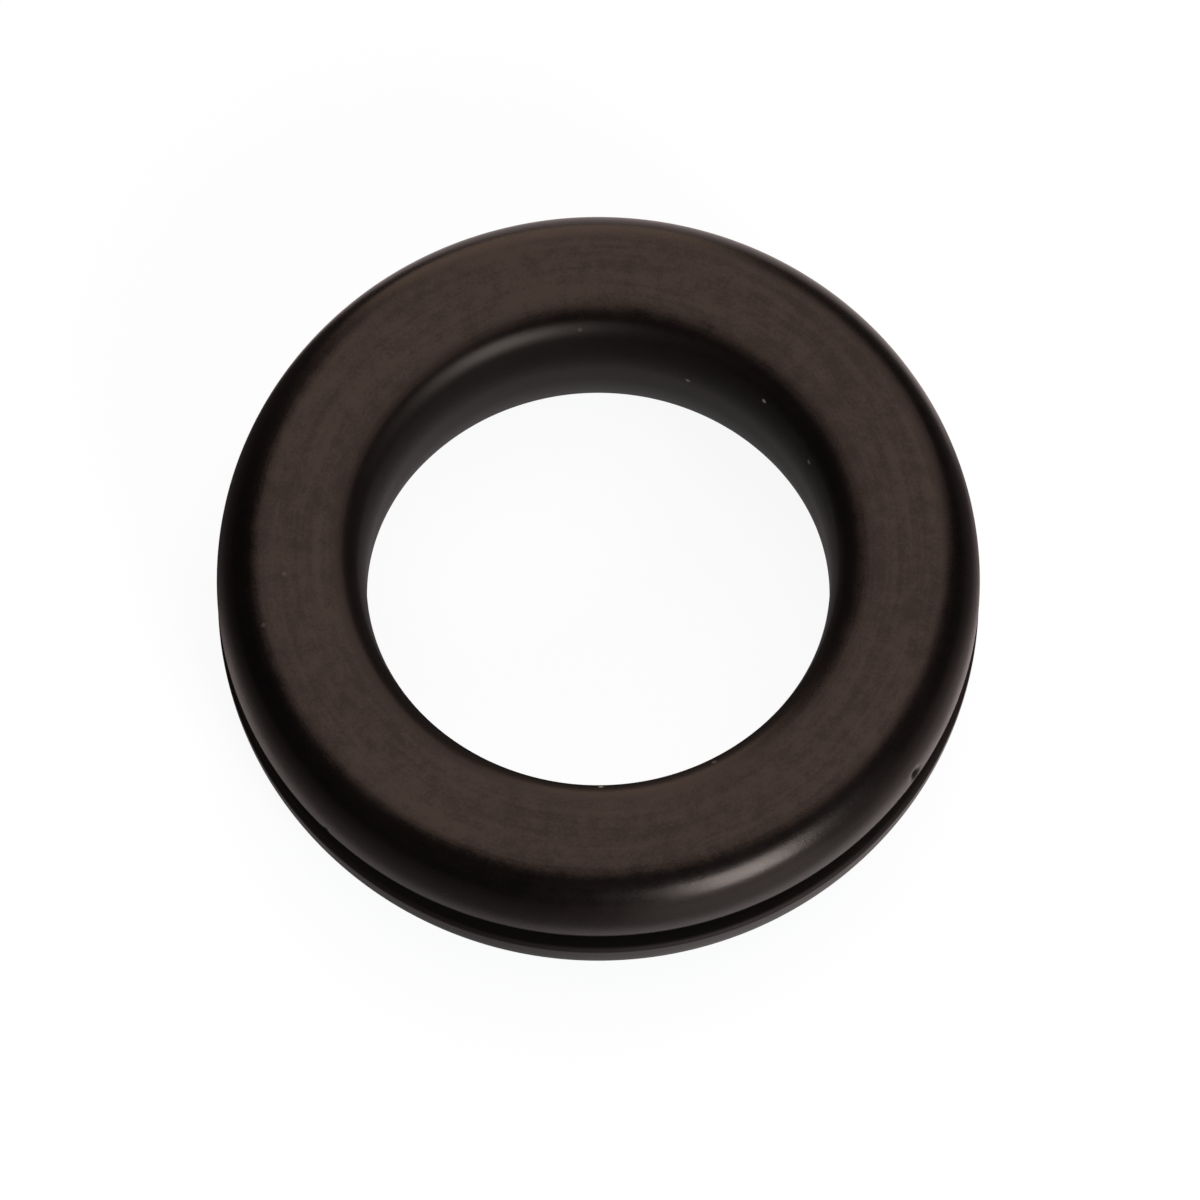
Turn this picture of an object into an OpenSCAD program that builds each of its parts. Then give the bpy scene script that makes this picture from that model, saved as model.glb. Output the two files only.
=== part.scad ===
// Round rubber grommet for a cable hole in a thin panel.
// One moulded piece: two equal flanges with crowned rims and flat outer faces,
// a groove between them for the panel's edge, and a crowned bore for the cable.
// The section is drawn with X as the radius and Y as the height above mid-height,
// and is turned about the bore's axis. The origin is on that axis, in the lower face.

/* [Flanges] */
// Diameter over the rims, where they are widest at the groove's lips
rim_d = 31.8; // [30:0.1:36]
// Height over the two flat faces
body_h = 8; // [7.2:0.1:10]
// Radius of the shallow crown up each rim
rim_crown_r = 5.5; // [5:0.5:30]
// Radius of the tight corner above a rim's crown
rim_corner_r = 1.8; // [0.6:0.1:2.3]
// Radius of the wide roll from that corner to the flat face
rim_roll_r = 2.5; // [2:0.1:3]
// Slope at which the roll meets the corner
rim_roll_a = 27; // [15:1:45]

/* [Cable bore] */
// Diameter of the bore at its straight land
bore_d = 19.3; // [16:0.1:20]
// Height of the straight land at the middle of the bore
bore_land_h = 1.2; // [0.8:0.1:2.4]
// Radius of the shallow crown above and below the land
bore_crown_r = 8.5; // [6:0.5:30]
// Radius of the tight corner above the bore's crown
bore_corner_r = 1.2; // [0.6:0.1:1.8]
// Radius of the wide roll from that corner to the flat face
bore_roll_r = 3.7; // [2.4:0.1:4]
// Slope at which the roll meets the corner
bore_roll_a = 22; // [15:1:30]

/* [Panel groove] */
// Diameter at the groove's root, the size of the panel's hole
groove_d = 25.4; // [23:0.1:28]
// Width of the groove, the thickness of the panel
groove_w = 1.6; // [0.8:0.1:2.4]
// Radius of the lips at the groove's mouth
groove_lip_r = 0.2; // [0.1:0.05:0.4]
// Radius of the fillets at the groove's root
groove_root_r = 0.25; // [0.1:0.05:0.35]

/* [Hidden] */
$fn = 128;
rim_r = rim_d / 2;
bore_r = bore_d / 2;
groove_r = groove_d / 2;
half_h = body_h / 2;
half_w = groove_w / 2;
half_land = bore_land_h / 2;
lip_y = half_w + groove_lip_r;
// Overlap of shapes that are joined or cut
lap = 0.5;
// How deep each side of the section reaches, so that the two sides overlap
side_depth = (rim_r - bore_r) / 2 + lap;
// How far a corner's arc stands through the arcs that it runs into
arc_seat = 0.00005;

// The shoulder of a crowned wall that faces +X and is highest at x = 0 and y = crown_y.
// It fills the section from x = -side_depth outwards, and from crown_y up to the flat
// face at y = half_h. Three arcs that touch end to end bound it: the crown up the wall,
// a tight corner, and a wide roll onto the face.
module shoulder(crown_y, crown_r, corner_r, roll_r, roll_a) {
    corner_y = half_h - roll_r + (roll_r - corner_r) * cos(roll_a);
    rise = corner_y - crown_y;
    inner_r = crown_r - corner_r;
    corner_x = sqrt(inner_r * inner_r - rise * rise) - crown_r;
    roll_x = corner_x - (roll_r - corner_r) * sin(roll_a);
    crown_top_y = crown_y + rise * crown_r / inner_r;
    roll_low_y = corner_y + corner_r * cos(roll_a);
    intersection() {
        translate([-crown_r, crown_y]) circle(crown_r);
        translate([-side_depth, crown_y]) square([side_depth + lap, crown_top_y - crown_y]);
    }
    translate([corner_x + arc_seat, corner_y + arc_seat]) circle(corner_r);
    intersection() {
        translate([roll_x, half_h - roll_r]) circle(roll_r);
        translate([-side_depth, roll_low_y]) square([side_depth, half_h + lap - roll_low_y]);
    }
    translate([-side_depth, crown_y]) square([side_depth + corner_x, roll_low_y - crown_y]);
    translate([-side_depth, crown_y]) square([side_depth + roll_x, half_h - crown_y]);
}

// The outer side of the section, down to the lip at the groove's mouth
module rim_side() {
    translate([rim_r, 0]) {
        shoulder(lip_y, rim_crown_r, rim_corner_r, rim_roll_r, rim_roll_a);
        translate([-groove_lip_r, lip_y]) circle(groove_lip_r);
        translate([-side_depth, 0]) square([side_depth - groove_lip_r, lip_y]);
    }
}

// The inner side of the section, down to the middle of the bore's land
module bore_side() {
    translate([bore_r, 0])
        mirror([1, 0]) {
            shoulder(half_land, bore_crown_r, bore_corner_r, bore_roll_r, bore_roll_a);
            translate([-side_depth, 0]) square([side_depth, half_land]);
        }
}

// The groove's upper half: a slot with a fillet where its root meets its wall
module groove_cut() {
    slot_l = rim_r - groove_r + lap;
    translate([groove_r, -lap]) square([slot_l, lap + half_w - groove_root_r]);
    translate([groove_r + groove_root_r, -lap]) square([slot_l, lap + half_w]);
    translate([groove_r + groove_root_r, half_w - groove_root_r]) circle(groove_root_r);
}

module half_section() {
    difference() {
        union() {
            rim_side();
            bore_side();
        }
        groove_cut();
    }
}

module grommet() {
    color([0.13, 0.12, 0.11])
        translate([0, 0, half_h])
        rotate_extrude() {
            half_section();
            mirror([0, 1]) half_section();
        }
}

grommet();
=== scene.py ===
import math

import bpy
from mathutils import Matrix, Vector, noise


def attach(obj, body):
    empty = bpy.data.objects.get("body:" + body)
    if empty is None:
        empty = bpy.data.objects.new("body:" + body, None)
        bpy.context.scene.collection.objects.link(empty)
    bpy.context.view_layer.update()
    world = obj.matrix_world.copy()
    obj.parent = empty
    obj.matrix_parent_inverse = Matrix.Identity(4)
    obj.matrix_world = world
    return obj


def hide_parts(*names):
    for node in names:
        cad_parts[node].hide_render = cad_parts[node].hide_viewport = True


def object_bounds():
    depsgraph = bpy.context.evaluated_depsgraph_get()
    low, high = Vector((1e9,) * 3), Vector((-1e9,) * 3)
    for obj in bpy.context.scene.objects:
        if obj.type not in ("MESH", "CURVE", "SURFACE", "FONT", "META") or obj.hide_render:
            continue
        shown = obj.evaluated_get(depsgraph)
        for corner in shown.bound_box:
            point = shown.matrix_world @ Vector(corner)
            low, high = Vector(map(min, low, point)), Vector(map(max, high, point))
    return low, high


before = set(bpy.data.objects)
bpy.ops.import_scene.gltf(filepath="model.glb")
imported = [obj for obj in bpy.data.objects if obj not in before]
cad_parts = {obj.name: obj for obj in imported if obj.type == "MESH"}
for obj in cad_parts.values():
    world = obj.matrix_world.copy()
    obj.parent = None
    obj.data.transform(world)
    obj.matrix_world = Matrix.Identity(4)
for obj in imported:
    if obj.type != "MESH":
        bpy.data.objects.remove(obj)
cad_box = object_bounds()
cad_low, cad_high = cad_box

MM = 0.001

# Section of the moulding, with the same sizes and arcs as the solid
RIM_R = (cad_high.x - cad_low.x) / 2
HALF_H = (cad_high.z - cad_low.z) / 2
BORE_R = 9.65 * MM
HALF_LAND = 0.6 * MM
GROOVE_R = 12.7 * MM
HALF_GROOVE = 0.8 * MM
LIP_R = 0.2 * MM
ROOT_R = 0.25 * MM
RIM_CROWN_R = 5.5 * MM
RIM_CORNER_R = 1.8 * MM
RIM_ROLL_R = 2.5 * MM
RIM_ROLL_A = math.radians(27)
BORE_CROWN_R = 8.5 * MM
BORE_CORNER_R = 1.2 * MM
BORE_ROLL_R = 3.7 * MM
BORE_ROLL_A = math.radians(22)

# Mesh density: steps round the ring, with finer ones at the nicks, then the longest step
# and turn along an arc of the section, and the steps of its straight stretches
RING_STEPS = 400
NICK_STEPS = 5
STEP_L = 0.26 * MM
RIM_STEP_L = 0.1 * MM
STEP_A = math.radians(5)
SMALL_STEP_A = math.radians(15)
SMALL_R = 0.5 * MM
FEWEST_STEPS = 2
ROOT_STEPS = 2
WALL_STEPS = 4
FACE_STEPS = 6
LAND_STEPS = 2

# Unevenness of the moulded skin, all of it cut inwards so that it stays within the solid
SKIN_DEPTH = 0.004 * MM
SKIN_WAVE = 0.003 * MM
SKIN_SCALE = 1 / (2.5 * MM)

# Nicks in the upper rim: the turn round the ring, the radius and the height over mid-height
# of the middle, then the width and the depth. A nick reaches as many widths as stated.
NICKS = (
    (-34.2, 15.88 * MM, 1.5 * MM, 0.25 * MM, 0.17 * MM),
    (-135.2, 15.88 * MM, 1.1 * MM, 0.16 * MM, 0.06 * MM),
)
NICK_REACH = 2.2
# Specks of pale dust: the turn, the radius, the height over mid-height and the paleness
SPECKS = (
    (-175.6, 13.06 * MM, 4.0 * MM, 0.04),
    (94.3, 10.23 * MM, 3.41 * MM, 0.04),
    (67.2, 9.66 * MM, 1.0 * MM, 0.25),
    (46.1, 9.97 * MM, 2.91 * MM, 0.35),
    (27.5, 9.89 * MM, 2.6 * MM, 0.4),
    (-166.8, 14.25 * MM, 3.92 * MM, 0.05),
    (-62.5, 10.35 * MM, 3.52 * MM, 0.1),
    (-89.4, 10.22 * MM, 3.38 * MM, 0.4),
)
# Distances from a speck's middle at which it has faded out and at which it is full
SPECK_SIZE = (0.15 * MM, 0.03 * MM)
SPECK_COLOUR = (0.75, 0.68, 0.6)

# Grain of the rubber in four layers of noise, each with the step between its spots, its
# detail and its roughness. The rings are laid out first, by the step between two rings and
# by the spots along a radian of one, so that their own step is 1.
RING_STEP = 0.35 * MM
RING_TURNS = 1.6
RING_NOISE = (1.0, 3.0, 0.6)
MOTTLE_NOISE = (0.8 * MM, 3.0, 0.55)
PORE_NOISE = (0.12 * MM, 2.0, 0.6)
CLOUD_NOISE = (7 * MM, 1.0, 0.5)
# Shares of the rings, mottle, pores and clouds in the tone, and the middle and the half
# width of their mean's spread, which is drawn out to the whole of 0 to 1
TONE_SHARES = (0.28, 0.29, 0.25, 0.18)
TONE_MIDDLE = 0.5
TONE_HALF = 0.066
# Depth of the grain, and the share of the pores in it
BUMP_DEPTH = 0.005 * MM
PORE_BUMP = 0.7
# Colours of the bare rubber and of the painted sheen on the flat faces (painted light where the
# overhead lamp's sheen falls), darkest and palest, and the levelness and the height over
# mid-height between which the painted sheen sets in
BARE_LOW = (0.0012, 0.0009, 0.0009)
BARE_HIGH = (0.0026, 0.0019, 0.0018)
PAINTED_SHEEN_LOW = (0.0005, 0.0004, 0.0003)
PAINTED_SHEEN_HIGH = (0.019, 0.0152, 0.0121)
PAINTED_SHEEN_FACING = (0.92, 0.99)
PAINTED_SHEEN_HEIGHT = (2 * MM, 3 * MM)
# Roughness of the faces and rims, darkest and palest, then of the bore and of the groove
# with the radii and the heights over mid-height between which they set in
SATIN_ROUGH = (0.27, 0.31)
BORE_ROUGH = 0.49
BORE_ROUGH_AT = (10.8 * MM, 10.2 * MM)
GROOVE_ROUGH = 0.65
GROOVE_ROUGH_AT = (1.12 * MM, 0.97 * MM)
SPECULAR_LEVEL = 0.25
SPECULAR_TINT = (1.0, 0.88, 0.82, 1)

# Camera: far off with a long lens, so that the outlines stay parallel. The rim's radius and
# the place of the body's middle are in pixels of the square picture, from its top left.
CAMERA_ELEVATION = math.radians(68.3)
CAMERA_DISTANCE = 40 * RIM_R
CLIP_START = CAMERA_DISTANCE * 0.1
CLIP_END = 20
SENSOR_W = 36.0
IMAGE_PX = 1200
RIM_PX = 381.1
BODY_PX = (598.3, 587.0)

# Lamps: a broad softbox overhead and behind, a smaller one low at the front right, and one
# low at the back.
# Angles are in degrees: the tilt from straight up towards the back, or the height above
# the floor, then the turn to the right, and the half widths as seen from the body.
LAMP_DISTANCE = 0.9
KEY_TILT = 28
KEY_TURN = 8
KEY_HALF_ANGLES = (33, 34)
KEY_RADIANCE = 1.5
KEY_COLOUR = (1.0, 0.78, 0.7)
FILL_HEIGHT = 17.5
FILL_TURN = 32.5
FILL_HALF_ANGLES = (10.5, 18)
FILL_RADIANCE = 11.7
FILL_COLOUR = (1.0, 0.97, 0.96)
BACK_HEIGHT = 16
BACK_TURN = -7
BACK_HALF_ANGLES = (20, 12)
BACK_RADIANCE = 2.0
BACK_COLOUR = (1.0, 0.73, 0.58)
# Energy of a square metre of lamp at radiance 1
UNIT_ENERGY = 4
# The side of the body that a lamp's turn is counted from
AT_FRONT = -1
AT_BACK = 1
WORLD_COLOUR = (0.9, 0.85, 1.0, 1)
WORLD_STRENGTH = 0.06

# Levels of the floor in reflections and bounced light, from 0 to 1, all painted light and
# painted shade. Pairs are the radii, or the facings towards a turn from -1 to 1, between which
# a level sets in.
# In the bore: painted shade in the middle, and a paler painted ring of light under the wall
HOLE_LEVEL = 0.03
HOLE_RING_LEVEL = 0.75
HOLE_RING = (5.5 * MM, 8.4 * MM)
# Outside the bore, and the low painted level far from the part
OUTSIDE = (11 * MM, 14 * MM)
FAR_LEVEL = 0.06
# A painted ring of light at the foot of the part, palest to the front right where the front
# right lamp falls and lower behind as painted shade, with its inner and outer edges, which lie
# nearer to the part at the right; inside the inner edge is painted shade next to the part
FOOT_LEVELS = (0.43, 0.68)
FOOT_TURN = math.radians(-40)
FOOT_FACINGS = ((-0.9, -0.65), (0.3, 1.0))
BEHIND_DROP = 0.55
BEHIND_FACING = (-0.2, 0.1)
FOOT_INNER = (16 * MM, 17.8 * MM)
FOOT_INNER_LEVEL = 0.4
FOOT_OUTER = (20.3 * MM, 18.7 * MM)
FOOT_OUTER_LEVEL = 0.22
FOOT_RIGHT_TURN = math.radians(-3)
FOOT_RIGHT_FACING = (0.915, 0.97)
FOOT_RIGHT_SHIFT = 0.9 * MM
# A painted pool of light in a lane towards the front right lamp, paler further out
LANE_LEVEL = 0.62
LANE_FAR_LEVEL = 0.94
LANE_FAR_START = (27 * MM, 38 * MM)
LANE_TURN = math.radians(-65)
LANE_FACING = (0.92, 0.99)
LANE_START = (20 * MM, 25 * MM)
# A painted pale patch of light behind the part, of level 1, that leans and widens with the distance
PALE_PATCH_START = 8 * MM
PALE_PATCH_SOFT = 6 * MM
PALE_PATCH_CENTRE = 3 * MM
PALE_PATCH_LEAN = 0.04
PALE_PATCH_HALF_W = 14 * MM
PALE_PATCH_SPREAD = 0.08
# The warm white that level 1 has in bounced light, and its share of the plain white
# floor in reflections
BLACK = (0, 0, 0)
BOUNCE_WHITE = (1.0, 0.87, 0.87)
GLOSS_SHARE = 0.45
# Share of the lit floor's shade in what the camera sees, and the steady glow that, with
# the light on it, makes the open floor white
SHADOW_SHARE = 0.13
FLOOR_GLOW = 0.92
FLOOR_TINT = (0.78, 0.88, 1.0)
WHITE = (1, 1, 1, 1)
FLOOR_HALF = 3.0


def arc(centre, radius, start, end, hollow=False, step_l=STEP_L):
    """Points and outward normals along an arc, without its first point."""
    step_a = STEP_A if radius > SMALL_R else SMALL_STEP_A
    turn = abs(end - start)
    steps = max(FEWEST_STEPS, math.ceil(turn / step_a), math.ceil(turn * radius / step_l))
    side = -1 if hollow else 1
    points = []
    for i in range(1, steps + 1):
        a = start + (end - start) * i / steps
        c, s = math.cos(a), math.sin(a)
        points.append((centre[0] + radius * c, centre[1] + radius * s, side * c, side * s))
    return points


def line(start, end, normal, steps):
    """Points and normals along a straight stretch, without its first point."""
    points = []
    for i in range(1, steps + 1):
        t = i / steps
        x = start[0] + (end[0] - start[0]) * t
        y = start[1] + (end[1] - start[1]) * t
        points.append((x, y, *normal))
    return points


def shoulder(crown_y, crown_r, corner_r, roll_r, roll_a, step_l):
    """Points up a wall that faces +x: its crown, a tight corner and a wide roll onto the face."""
    corner_y = HALF_H - roll_r + (roll_r - corner_r) * math.cos(roll_a)
    rise = corner_y - crown_y
    inner_r = crown_r - corner_r
    corner_x = math.sqrt(inner_r ** 2 - rise ** 2) - crown_r
    roll_x = corner_x - (roll_r - corner_r) * math.sin(roll_a)
    meet_a = math.asin(rise / inner_r)
    top_a = math.pi / 2
    return (
        arc((-crown_r, crown_y), crown_r, 0, meet_a, step_l=step_l)
        + arc((corner_x, corner_y), corner_r, meet_a, top_a - roll_a)
        + arc((roll_x, HALF_H - roll_r), roll_r, top_a - roll_a, top_a)
    )


def upper_section():
    """The section's upper half from the groove's root, out over the rim and down the bore."""
    lip_y = HALF_GROOVE + LIP_R
    root_y = HALF_GROOVE - ROOT_R
    wall_x = GROOVE_R + ROOT_R
    lip_x = RIM_R - LIP_R
    root = line((GROOVE_R, 0), (GROOVE_R, root_y), (1, 0), ROOT_STEPS)
    root += arc((wall_x, root_y), ROOT_R, math.pi, math.pi / 2, hollow=True)
    wall = line((wall_x, HALF_GROOVE), (lip_x, HALF_GROOVE), (0, -1), WALL_STEPS)
    lip = arc((lip_x, lip_y), LIP_R, -math.pi / 2, 0)
    rim = shoulder(lip_y, RIM_CROWN_R, RIM_CORNER_R, RIM_ROLL_R, RIM_ROLL_A, RIM_STEP_L)
    rim = [(RIM_R + x, y, nx, ny) for x, y, nx, ny in rim]
    bore = shoulder(HALF_LAND, BORE_CROWN_R, BORE_CORNER_R, BORE_ROLL_R, BORE_ROLL_A, STEP_L)
    bore = [(BORE_R - x, y, -nx, ny) for x, y, nx, ny in reversed(bore)]
    bore.append((BORE_R, HALF_LAND, -1, 0))
    face = line(rim[-1][:2], bore[0][:2], (0, 1), FACE_STEPS)[:-1]
    land = line((BORE_R, HALF_LAND), (BORE_R, 0), (-1, 0), LAND_STEPS)
    return [(GROOVE_R, 0, 1, 0)] + root + wall + lip + rim + face + bore + land


def whole_section():
    """The closed section: the upper half and its mirror image below mid-height."""
    upper = upper_section()
    lower = [(r, -y, nr, -ny) for r, y, nr, ny in upper[1:-1]]
    lower.reverse()
    return upper + lower


def turned(turn, radius, height):
    """The place at a turn in degrees round the ring, a radius and a height over mid-height."""
    a = math.radians(turn)
    return Vector((radius * math.cos(a), radius * math.sin(a), HALF_H + height))


def nick_depth(p, nicks):
    """How deep the nicks cut at a point."""
    depth = 0
    for middle, width, deep in nicks:
        off = (p - middle).length / width
        if off < NICK_REACH:
            depth += deep * math.exp(-off * off)
    return depth


def ring_turns():
    """Angles round the ring, in even steps with finer ones at the nicks."""
    step = 2 * math.pi / RING_STEPS
    fine = set()
    for turn, radius, _, width, _ in NICKS:
        a = math.radians(turn) % (2 * math.pi)
        reach = NICK_REACH * width / radius
        fine.update(range(math.floor((a - reach) / step), math.ceil((a + reach) / step)))
    turns = []
    for i in range(RING_STEPS):
        parts = NICK_STEPS if i in fine else 1
        turns += [(i + k / parts) * step for k in range(parts)]
    return turns


def skin_depth(p):
    """How far the moulded skin lies inside the true section at a point."""
    return SKIN_DEPTH + SKIN_WAVE * noise.noise(p * SKIN_SCALE)


def add_mesh(name, verts, faces):
    """An object with a mesh of its own, in the scene."""
    mesh = bpy.data.meshes.new(name)
    mesh.from_pydata(verts, [], faces)
    piece = bpy.data.objects.new(name, mesh)
    bpy.context.scene.collection.objects.link(piece)
    return piece


def build_grommet():
    section = whole_section()
    count = len(section)
    turns = ring_turns()
    nicks = [(turned(*place), width, depth) for *place, width, depth in NICKS]
    verts = []
    for a in turns:
        ca, sa = math.cos(a), math.sin(a)
        for r, y, nr, ny in section:
            p = Vector((r * ca, r * sa, HALF_H + y))
            out = -skin_depth(p) - nick_depth(p, nicks)
            verts.append((p.x + out * nr * ca, p.y + out * nr * sa, p.z + out * ny))
    faces = []
    for i in range(len(turns)):
        j = (i + 1) % len(turns)
        for k in range(count):
            m = (k + 1) % count
            faces.append((i * count + k, j * count + k, j * count + m, i * count + m))
    piece = add_mesh("grommet_rubber", verts, faces)
    piece.data.validate()
    for poly in piece.data.polygons:
        poly.use_smooth = True
    piece.data.update()
    return piece


def add(tree, kind, settings=None, **inputs):
    """A node with its settings and its inputs, by name or as i with a number.

    A socket is linked, and any other value is written.
    """
    node = tree.nodes.new(kind)
    for name, value in (settings or {}).items():
        setattr(node, name, value)
    for key, value in inputs.items():
        socket = node.inputs[int(key[1:]) if key[1:].isdigit() else key]
        if isinstance(value, bpy.types.NodeSocket):
            tree.links.new(value, socket)
        else:
            socket.default_value = value
    return node


def maths(tree, operation, a, b=0.0):
    return add(tree, "ShaderNodeMath", {"operation": operation}, i0=a, i1=b).outputs[0]


def plus(tree, a, b):
    return maths(tree, "ADD", a, b)


def minus(tree, a, b):
    return maths(tree, "SUBTRACT", a, b)


def times(tree, a, b):
    return maths(tree, "MULTIPLY", a, b)


def vector_maths(tree, operation, a, b=(0, 0, 0)):
    node = add(tree, "ShaderNodeVectorMath", {"operation": operation}, i0=a, i1=b)
    return node.outputs["Value" if operation in ("LENGTH", "DOT_PRODUCT") else "Vector"]


def map_range(tree, value, start=0.0, end=1.0, low=0.0, high=1.0, kind="LINEAR"):
    """A value that runs from low to high while another runs from start to end."""
    settings = {"interpolation_type": kind}
    node = add(tree, "ShaderNodeMapRange", settings, i0=value, i1=start, i2=end, i3=low, i4=high)
    return node.outputs["Result"]


def smooth_step(tree, value, start, end):
    """A value turned into 0 before start and 1 after end, with a smooth rise between."""
    return map_range(tree, value, start, end, kind="SMOOTHSTEP")


def blend(tree, share, low, high):
    """Between two values by a share."""
    return map_range(tree, share, low=low, high=high)


def mix_colours(tree, share, low, high):
    """Between two colours by a share."""
    node = add(tree, "ShaderNodeMix", {"data_type": "RGBA"}, i0=share, i6=low, i7=high)
    return node.outputs[2]


def ramp(tree, value, low, high):
    """A tone from 0 to 1 turned into a colour between two."""
    node = add(tree, "ShaderNodeValToRGB", Fac=value)
    node.color_ramp.elements[0].color = (*low, 1)
    node.color_ramp.elements[1].color = (*high, 1)
    return node.outputs["Color"]


def noise_layer(tree, place, step, detail, roughness):
    """A layer of noise with a step between its spots."""
    values = {"Scale": 1 / step, "Detail": detail, "Roughness": roughness}
    return add(tree, "ShaderNodeTexNoise", Vector=place, **values).outputs["Fac"]


def new_material(name):
    mat = bpy.data.materials.new(name)
    mat.use_nodes = True
    return mat


def speck_share(tree, place):
    """The share of dust: up to 1 on the specks and 0 off them."""
    share = 0.0
    for *middle, paleness in SPECKS:
        off = vector_maths(tree, "LENGTH", vector_maths(tree, "SUBTRACT", place, turned(*middle)))
        here = times(tree, smooth_step(tree, off, *SPECK_SIZE), paleness)
        share = maths(tree, "MAXIMUM", here, share)
    return share


def rubber_material():
    mat = new_material("black_rubber")
    tree = mat.node_tree
    shader = tree.nodes["Principled BSDF"]
    coords = tree.nodes.new("ShaderNodeTexCoord")
    place = coords.outputs["Object"]

    # Radius and direction round the axis, for grain that runs in rings
    level = vector_maths(tree, "MULTIPLY", place, (1, 1, 0))
    radius = vector_maths(tree, "LENGTH", level)
    way = vector_maths(tree, "NORMALIZE", level)
    turn = vector_maths(tree, "MULTIPLY", way, (RING_TURNS, RING_TURNS, 0))
    rise = add(tree, "ShaderNodeCombineXYZ", Z=times(tree, radius, 1 / RING_STEP))
    ring_place = vector_maths(tree, "ADD", turn, rise.outputs[0])
    ring = noise_layer(tree, ring_place, *RING_NOISE)
    mottle = noise_layer(tree, place, *MOTTLE_NOISE)
    pores = noise_layer(tree, place, *PORE_NOISE)
    cloud = noise_layer(tree, place, *CLOUD_NOISE)

    # The mean of the four, drawn out so that it runs over the whole of 0 to 1
    tone = 0.0
    for layer, share in zip((ring, mottle, pores, cloud), TONE_SHARES):
        tone = plus(tree, times(tree, layer, share), tone)
    tone = map_range(tree, tone, TONE_MIDDLE - TONE_HALF, TONE_MIDDLE + TONE_HALF)

    # The flat faces carry a painted sheen, a paler brown where the overhead lamp's sheen falls,
    # and the rounded rims and the bore are bare
    across = vector_maths(tree, "DOT_PRODUCT", coords.outputs["Normal"], (0, 0, 1))
    flat = smooth_step(tree, maths(tree, "ABSOLUTE", across), *PAINTED_SHEEN_FACING)
    height = add(tree, "ShaderNodeSeparateXYZ", i0=place).outputs["Z"]
    from_middle = maths(tree, "ABSOLUTE", minus(tree, height, HALF_H))
    flat = times(tree, flat, smooth_step(tree, from_middle, *PAINTED_SHEEN_HEIGHT))
    bare = ramp(tree, tone, BARE_LOW, BARE_HIGH)
    painted_sheen = ramp(tree, tone, PAINTED_SHEEN_LOW, PAINTED_SHEEN_HIGH)
    colour = mix_colours(tree, flat, bare, painted_sheen)
    colour = mix_colours(tree, speck_share(tree, place), colour, (*SPECK_COLOUR, 1))
    tree.links.new(colour, shader.inputs["Base Color"])

    satin = blend(tree, tone, *SATIN_ROUGH)
    inside = smooth_step(tree, radius, *BORE_ROUGH_AT)
    rough = blend(tree, smooth_step(tree, from_middle, *GROOVE_ROUGH_AT), satin, GROOVE_ROUGH)
    rough = blend(tree, inside, rough, BORE_ROUGH)
    tree.links.new(rough, shader.inputs["Roughness"])
    shader.inputs["Specular IOR Level"].default_value = SPECULAR_LEVEL
    shader.inputs["Specular Tint"].default_value = SPECULAR_TINT

    grain = plus(tree, ring, plus(tree, mottle, times(tree, pores, PORE_BUMP)))
    bump = add(tree, "ShaderNodeBump", Height=grain, Strength=1.0, Distance=BUMP_DEPTH)
    tree.links.new(bump.outputs["Normal"], shader.inputs["Normal"])
    return mat


def facing(tree, way, turn):
    """How far a place on the floor lies towards a turn round the axis: 1 is straight there."""
    return vector_maths(tree, "DOT_PRODUCT", way, (math.cos(turn), math.sin(turn), 0))


def painted_patch_share(tree, place):
    """1 on the painted pale patch of light behind the part, falling to 0 in front of it and beside
    it.
    """
    split = add(tree, "ShaderNodeSeparateXYZ", i0=place)
    x, y = split.outputs["X"], split.outputs["Y"]
    behind = smooth_step(tree, y, PALE_PATCH_START, PALE_PATCH_START + PALE_PATCH_SOFT)
    half = plus(tree, times(tree, y, PALE_PATCH_SPREAD), PALE_PATCH_HALF_W)
    centre = plus(tree, times(tree, y, PALE_PATCH_LEAN), PALE_PATCH_CENTRE)
    off_centre = maths(tree, "ABSOLUTE", minus(tree, x, centre))
    beside = smooth_step(tree, minus(tree, off_centre, half), PALE_PATCH_SOFT, 0)
    return times(tree, behind, beside)


def foot_level(tree, out, way):
    """The painted light and shade of the ring at the foot of the part, which change round it."""
    foot_facing = facing(tree, way, FOOT_TURN)
    foot = 0.0
    for level, span in zip(FOOT_LEVELS, FOOT_FACINGS):
        foot = plus(tree, times(tree, smooth_step(tree, foot_facing, *span), level), foot)
    to_back = smooth_step(tree, facing(tree, way, math.pi / 2), *BEHIND_FACING)
    foot = times(tree, foot, blend(tree, to_back, 1.0, 1 - BEHIND_DROP))
    to_right = smooth_step(tree, facing(tree, way, FOOT_RIGHT_TURN), *FOOT_RIGHT_FACING)
    out = plus(tree, out, times(tree, to_right, FOOT_RIGHT_SHIFT))
    for span, level in ((FOOT_INNER, FOOT_INNER_LEVEL), (FOOT_OUTER, FOOT_OUTER_LEVEL)):
        foot = times(tree, foot, blend(tree, smooth_step(tree, out, *span), level, 1.0))
    return foot


def lane_level(tree, out, way):
    """The painted light of the lane towards the front right lamp."""
    lane = smooth_step(tree, facing(tree, way, LANE_TURN), *LANE_FACING)
    lane = times(tree, lane, smooth_step(tree, out, *LANE_START))
    palest = blend(tree, smooth_step(tree, out, *LANE_FAR_START), LANE_LEVEL, LANE_FAR_LEVEL)
    return times(tree, lane, palest)


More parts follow.
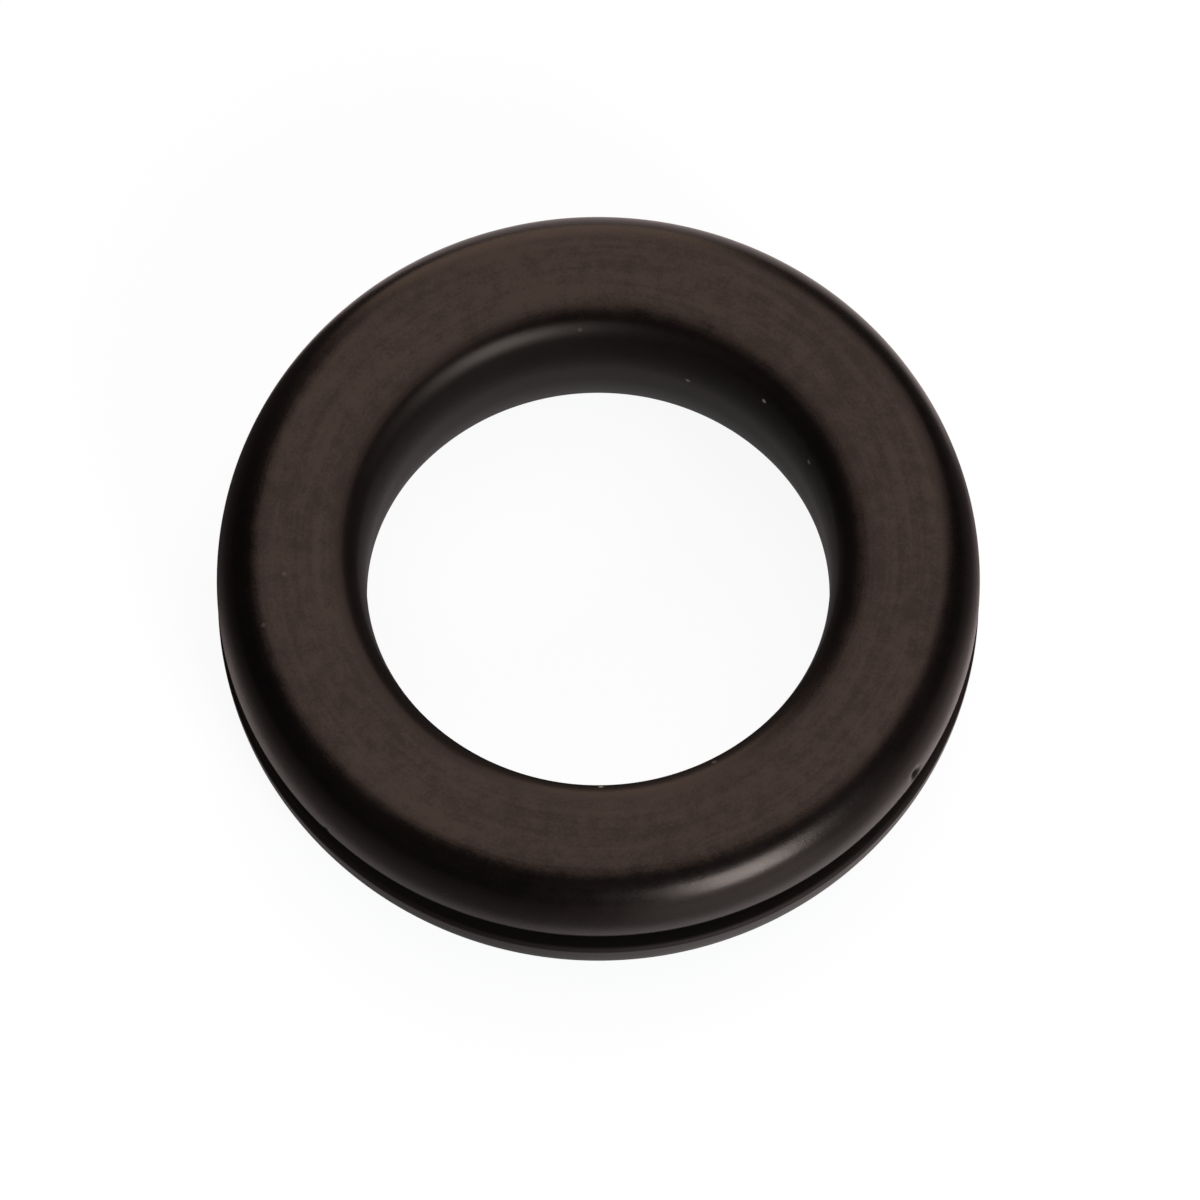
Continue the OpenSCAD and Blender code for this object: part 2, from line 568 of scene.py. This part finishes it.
def floor_material():
    mat = new_material("pale_floor")
    tree = mat.node_tree
    tree.nodes.clear()
    place = tree.nodes.new("ShaderNodeTexCoord").outputs["Object"]
    out = vector_maths(tree, "LENGTH", place)
    way = vector_maths(tree, "NORMALIZE", place)

    # The painted light and shade of each place, and the white that it bounces
    open_level = plus(tree, foot_level(tree, out, way), lane_level(tree, out, way))
    open_level = plus(tree, open_level, FAR_LEVEL)
    hole = blend(tree, smooth_step(tree, out, *HOLE_RING), HOLE_LEVEL, HOLE_RING_LEVEL)
    level = blend(tree, smooth_step(tree, out, *OUTSIDE), hole, open_level)
    level = blend(tree, painted_patch_share(tree, place), level, 1.0)
    bounce = add(tree, "ShaderNodeBsdfDiffuse", Color=ramp(tree, level, BLACK, BOUNCE_WHITE))
    share = times(tree, level, GLOSS_SHARE)

    # What the camera sees, and reflections by their share: a white floor with the shadow
    shade = (*[SHADOW_SHARE * c for c in FLOOR_TINT], 1)
    lit = add(tree, "ShaderNodeBsdfDiffuse", Color=shade)
    glow = add(tree, "ShaderNodeEmission", Color=WHITE, Strength=FLOOR_GLOW)
    white = add(tree, "ShaderNodeAddShader", i0=lit.outputs[0], i1=glow.outputs[0])
    path = tree.nodes.new("ShaderNodeLightPath")
    reflected = plus(tree, path.outputs["Is Glossy Ray"], path.outputs["Is Transmission Ray"])
    seen = plus(tree, path.outputs["Is Camera Ray"], times(tree, reflected, share))
    mix = add(tree, "ShaderNodeMixShader", i0=seen, i1=bounce.outputs[0], i2=white.outputs[0])
    add(tree, "ShaderNodeOutputMaterial", Surface=mix.outputs[0])
    return mat


def build_floor():
    h = FLOOR_HALF
    floor = add_mesh("floor", [(-h, -h, 0), (h, -h, 0), (h, h, 0), (-h, h, 0)], [(0, 1, 2, 3)])
    floor.data.materials.append(floor_material())
    return floor


def place_facing(name, data, location, way):
    """A lamp or a camera at a place, looking a way."""
    thing = bpy.data.objects.new(name, data)
    bpy.context.scene.collection.objects.link(thing)
    thing.location = location
    thing.rotation_mode = "QUATERNION"
    thing.rotation_quaternion = way.to_track_quat("-Z", "Y")
    return thing


def add_softbox(name, way, half_angles, radiance, colour):
    """A rectangular lamp that faces the body from a way off, with a given radiance."""
    data = bpy.data.lights.new(name, "AREA")
    data.shape = "RECTANGLE"
    data.size, data.size_y = [2 * LAMP_DISTANCE * math.tan(math.radians(a)) for a in half_angles]
    data.energy = UNIT_ENERGY * data.size * data.size_y * radiance
    data.color = colour
    place_facing(name, data, body_centre + way * LAMP_DISTANCE, -way)


def lamp_way(height, turn, side):
    """The way to a lamp at a height above the floor, turned right of the front or the back."""
    height, turn = math.radians(height), math.radians(turn)
    level = math.cos(height)
    return Vector((level * math.sin(turn), side * level * math.cos(turn), math.sin(height)))


def add_camera():
    data = bpy.data.cameras.new("camera")
    data.sensor_width = SENSOR_W
    px = RIM_R / RIM_PX
    data.lens = SENSOR_W * CAMERA_DISTANCE / (IMAGE_PX * px)
    data.clip_start, data.clip_end = CLIP_START, CLIP_END
    back = Vector((0, -math.cos(CAMERA_ELEVATION), math.sin(CAMERA_ELEVATION)))
    up = Vector((0, math.sin(CAMERA_ELEVATION), math.cos(CAMERA_ELEVATION)))
    right = Vector((1, 0, 0))
    middle = IMAGE_PX / 2
    location = body_centre + back * CAMERA_DISTANCE
    target = body_centre + right * (middle - BODY_PX[0]) * px - up * (middle - BODY_PX[1]) * px
    bpy.context.scene.camera = place_facing("camera", data, location, target - location)


def set_world():
    world = bpy.data.worlds.new("studio")
    world.use_nodes = True
    background = world.node_tree.nodes["Background"]
    background.inputs["Color"].default_value = WORLD_COLOUR
    background.inputs["Strength"].default_value = WORLD_STRENGTH
    bpy.context.scene.world = world


body_centre = Vector((0, 0, (cad_low.z + cad_high.z) / 2))

grommet = build_grommet()
grommet.data.materials.append(rubber_material())
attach(grommet, "root")
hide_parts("grommet")

floor = build_floor()

add_camera()
set_world()
key_way = Vector((math.tan(math.radians(KEY_TURN)), math.tan(math.radians(KEY_TILT)), 1)).normalized()
add_softbox("key", key_way, KEY_HALF_ANGLES, KEY_RADIANCE, KEY_COLOUR)
fill_way = lamp_way(FILL_HEIGHT, FILL_TURN, AT_FRONT)
add_softbox("fill", fill_way, FILL_HALF_ANGLES, FILL_RADIANCE, FILL_COLOUR)
back_way = lamp_way(BACK_HEIGHT, BACK_TURN, AT_BACK)
add_softbox("back", back_way, BACK_HALF_ANGLES, BACK_RADIANCE, BACK_COLOUR)
bpy.context.scene.view_settings.view_transform = "Standard"
